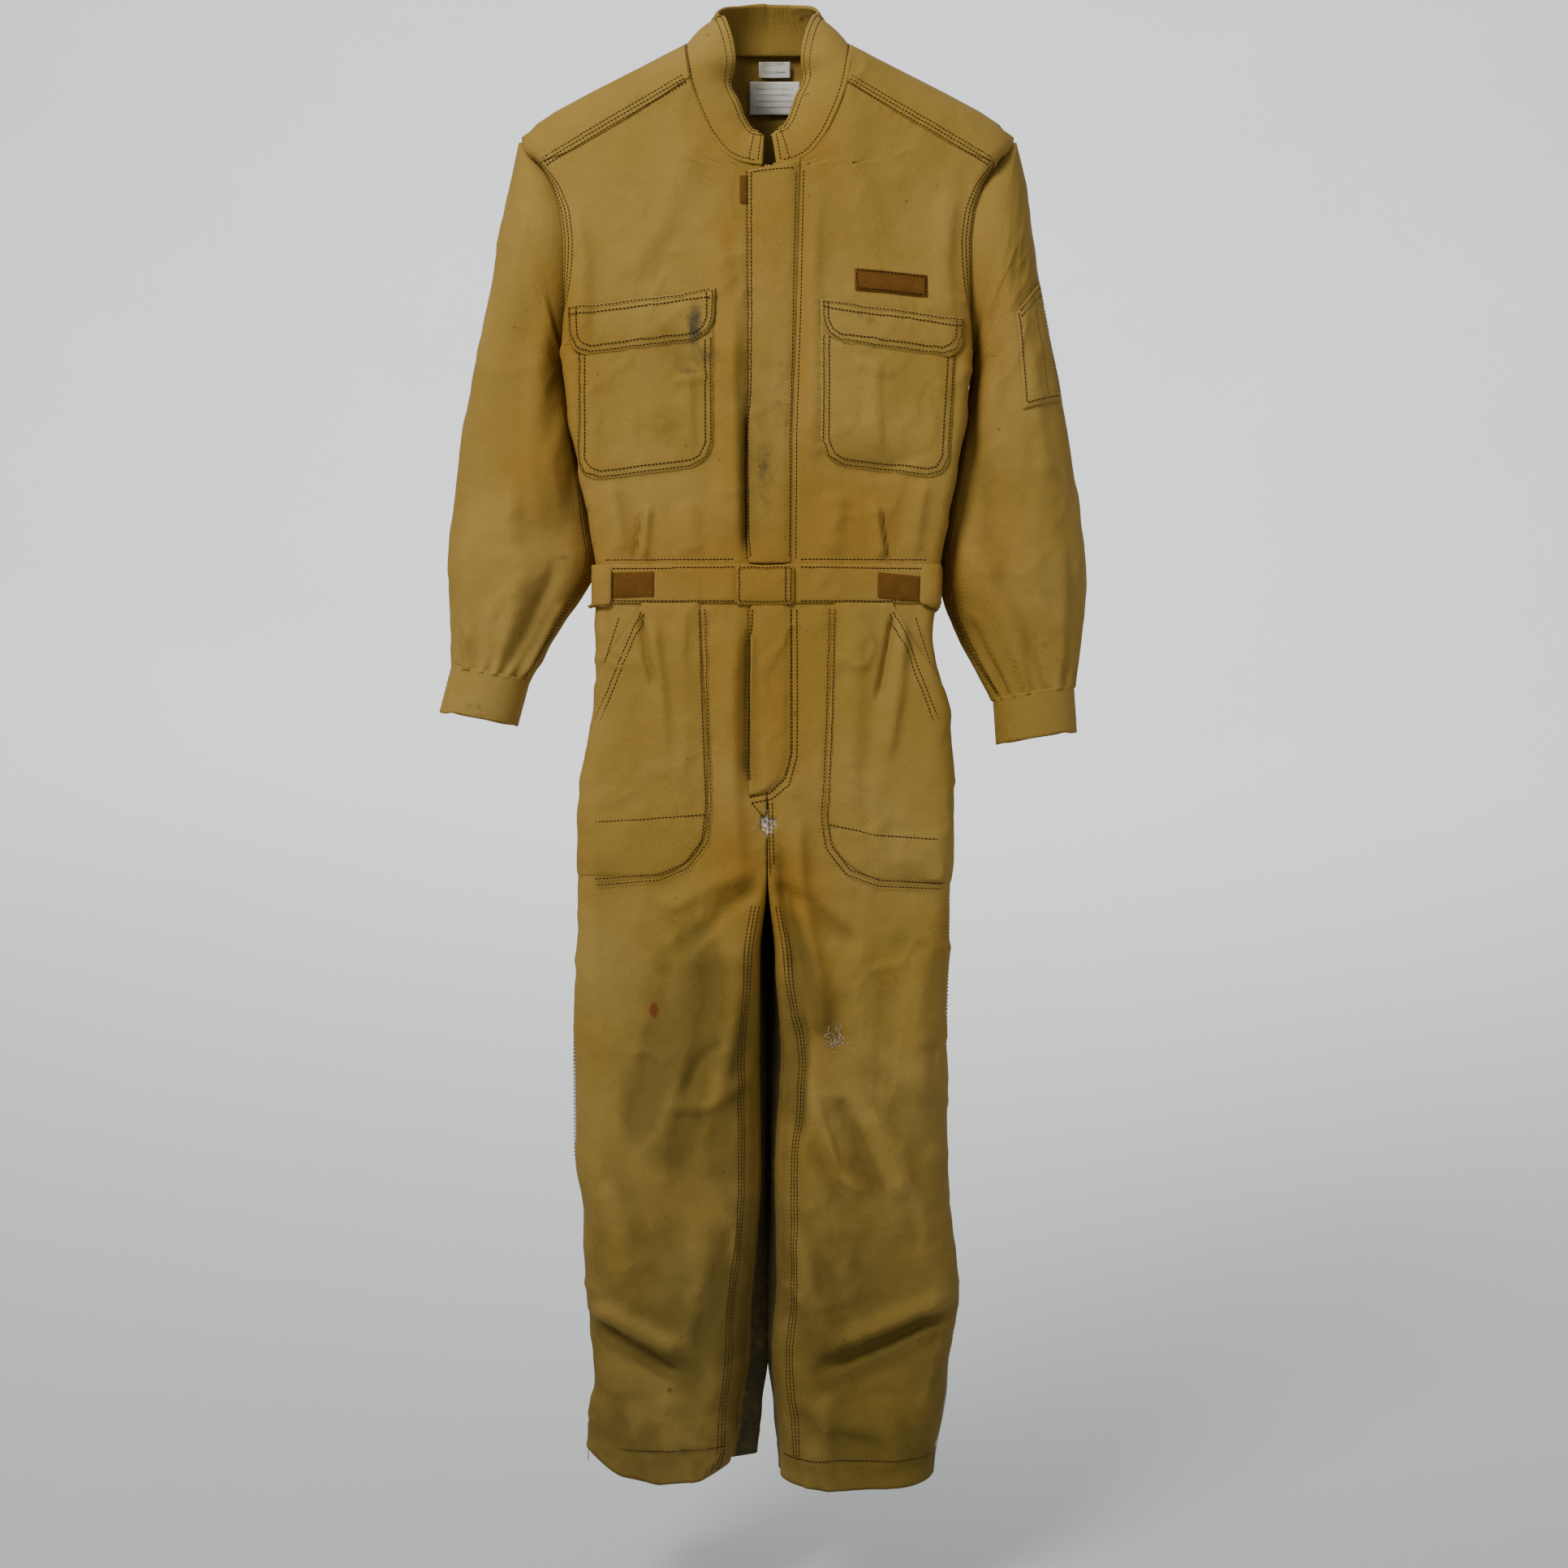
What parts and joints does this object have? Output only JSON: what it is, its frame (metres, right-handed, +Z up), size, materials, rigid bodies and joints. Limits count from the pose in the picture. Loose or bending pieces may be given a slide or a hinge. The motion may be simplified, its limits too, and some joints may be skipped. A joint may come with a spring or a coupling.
{
  "type": "work coverall",
  "caption": "Hanging one-piece work coverall with stand collar, zip under a storm placket, waistband, patch pockets and cuffed sleeves; sleeves, legs, flaps and tabs move.",
  "frame": {"origin": "centre back neck point, where the collar seam crosses the back yoke", "axes": "+Z up along the hanging garment, -Y out of its front, +X to the wearer's left"},
  "size_m": [0.6748, 0.1351, 1.5443],
  "materials": {
    "cotton": "worn cotton twill",
    "hook_and_loop": "looped pile",
    "zip_tape": "woven tape",
    "brass": "worn metal",
    "label": "woven satin label"
  },
  "bodies": {
    "garment": {"left_front_panel": "cotton", "right_front_panel": "cotton", "left_front_waistband": "cotton", "right_front_waistband": "cotton", "left_hip_front": "cotton", "right_hip_front": "cotton", "left_hip_back": "cotton", "right_hip_back": "cotton", "left_chest_pocket": "cotton", "right_chest_pocket": "cotton", "left_thigh_pocket": "cotton", "right_thigh_pocket": "cotton", "left_seat_pocket": "cotton", "right_seat_pocket": "cotton", "back_panel": "cotton", "shoulder_yoke": "cotton", "collar": "cotton", "back_waistband": "cotton", "name_patch": "hook_and_loop", "belt_tab_pad": "hook_and_loop", "placket_pad": "hook_and_loop", "left_waist_pad": "hook_and_loop", "right_waist_pad": "hook_and_loop", "left_zip_tape": "zip_tape", "right_zip_tape": "zip_tape", "left_zip_teeth": "brass", "right_zip_teeth": "brass", "zip_bottom_stop": "brass", "size_label": "label", "neck_label": "label"},
    "left_sleeve": {"left_sleeve": "cotton", "left_cuff": "cotton", "pen_pocket": "cotton"},
    "left_cuff_tab": {"left_cuff_tab": "cotton"},
    "left_leg": {"left_leg_front": "cotton", "left_leg_back": "cotton", "left_leg_hem": "cotton"},
    "left_pocket_flap": {"left_pocket_flap": "cotton"},
    "left_waist_tab": {"left_waist_tab": "cotton"},
    "right_sleeve": {"right_sleeve": "cotton", "right_cuff": "cotton"},
    "right_cuff_tab": {"right_cuff_tab": "cotton"},
    "right_leg": {"right_leg_front": "cotton", "right_leg_back": "cotton", "right_leg_hem": "cotton"},
    "right_pocket_flap": {"right_pocket_flap": "cotton"},
    "right_waist_tab": {"right_waist_tab": "cotton"},
    "storm_placket": {"storm_placket": "cotton"},
    "fly_placket": {"fly_placket": "cotton"},
    "belt_tab": {"belt_tab": "cotton"},
    "zip_slider": {"zip_slider": "brass"}
  },
  "joints": [
    {"name": "left_sleeve_swing", "type": "hinge", "parent": "garment", "child": "left_sleeve", "pos_m": [0.258, -0.05, -0.11], "axis": [0, -1, 0], "range_deg": [0, 60]},
    {"name": "left_leg_swing", "type": "hinge", "parent": "garment", "child": "left_leg", "pos_m": [0.1, -0.05, -0.78], "axis": [0, -1, 0], "range_deg": [0, 18]},
    {"name": "left_pocket_flap_lift", "type": "hinge", "parent": "garment", "child": "left_pocket_flap", "pos_m": [0.053, -0.12184, -0.288], "axis": [-0.9905, -0.0491, 0.1288], "range_deg": [0, 140]},
    {"name": "left_waist_tab_slide", "type": "slide", "parent": "garment", "child": "left_waist_tab", "axis": [-0.9983, -0.0583, 0], "range_m": [0, 0.038]},
    {"name": "left_cuff_tab_open", "type": "hinge", "parent": "left_sleeve", "child": "left_cuff_tab", "pos_m": [0.3242, -0.0227, -0.696], "axis": [0, 0, -1], "range_deg": [0, 90]},
    {"name": "right_sleeve_swing", "type": "hinge", "parent": "garment", "child": "right_sleeve", "pos_m": [-0.258, -0.05, -0.11], "axis": [0, 1, 0], "range_deg": [0, 60]},
    {"name": "right_leg_swing", "type": "hinge", "parent": "garment", "child": "right_leg", "pos_m": [-0.1, -0.05, -0.78], "axis": [0, 1, 0], "range_deg": [0, 18]},
    {"name": "right_pocket_flap_lift", "type": "hinge", "parent": "garment", "child": "right_pocket_flap", "pos_m": [-0.053, -0.12184, -0.288], "axis": [-0.9905, 0.0491, -0.1288], "range_deg": [0, 140]},
    {"name": "right_waist_tab_slide", "type": "slide", "parent": "garment", "child": "right_waist_tab", "axis": [0.9983, -0.0583, 0], "range_m": [0, 0.038]},
    {"name": "right_cuff_tab_open", "type": "hinge", "parent": "right_sleeve", "child": "right_cuff_tab", "pos_m": [-0.3242, -0.0227, -0.696], "axis": [0, 0, 1], "range_deg": [0, 90]},
    {"name": "storm_placket_open", "type": "hinge", "parent": "garment", "child": "storm_placket", "pos_m": [0.0255, -0.1212, -0.357], "axis": [0, 0, 1], "range_deg": [0, 150]},
    {"name": "fly_placket_open", "type": "hinge", "parent": "garment", "child": "fly_placket", "pos_m": [0.0255, -0.1212, -0.693], "axis": [0, 0, 1], "range_deg": [0, 50]},
    {"name": "belt_tab_open", "type": "hinge", "parent": "garment", "child": "belt_tab", "pos_m": [-0.0315, -0.1212, -0.5775], "axis": [0, 0, -1], "range_deg": [0, 150]},
    {"name": "zip_slider_pull", "type": "slide", "parent": "garment", "child": "zip_slider", "axis": [0, 0, -1], "range_m": [0, 0.61]}
  ]
}
